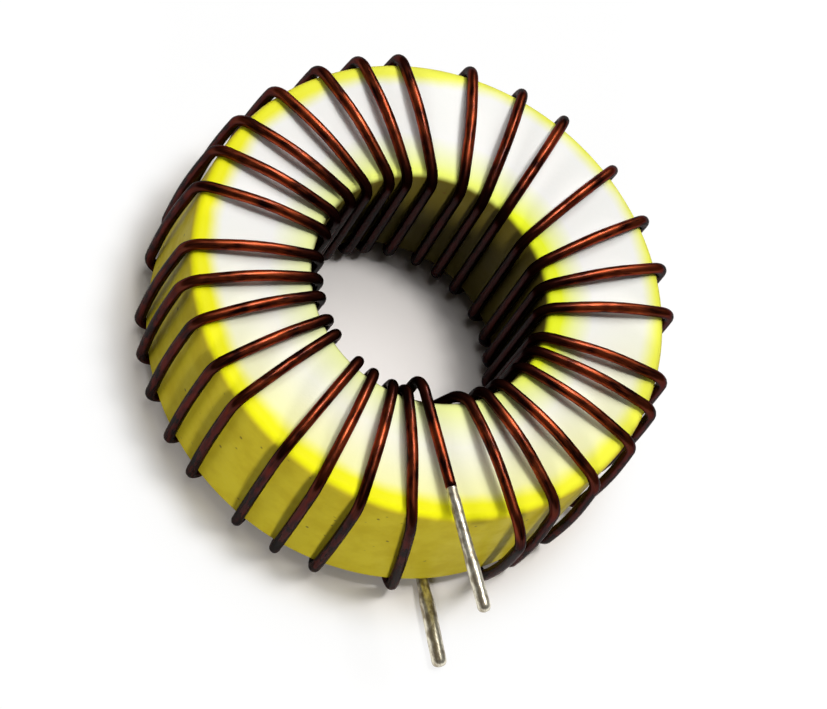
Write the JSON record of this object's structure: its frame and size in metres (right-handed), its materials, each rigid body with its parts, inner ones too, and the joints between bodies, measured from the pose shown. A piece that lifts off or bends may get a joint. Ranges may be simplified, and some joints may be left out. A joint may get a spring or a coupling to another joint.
{
  "type": "toroidal inductor",
  "caption": "Painted powder-core ring wound by hand with enamelled copper wire, with two tinned leads, used as a choke in a power circuit.",
  "frame": {"origin": "on the ring's axis, in the plane that the lowest turns rest on", "axes": "+Z along the ring's axis, from the lead under the ring to the lead over it; the leads leave between +X and -Y"},
  "size_m": [0.035, 0.0354, 0.0142],
  "materials": {
    "core_paint": "yellow coating with a white painted top face",
    "wire_enamel": "glossy dark brown-red enamel over copper",
    "solder": "dipped tin solder, softly bright"
  },
  "bodies": {
    "root": {"core": "core_paint", "winding": "wire_enamel", "top_lead_solder": "solder", "bottom_lead_solder": "solder"}
  },
  "joints": []
}
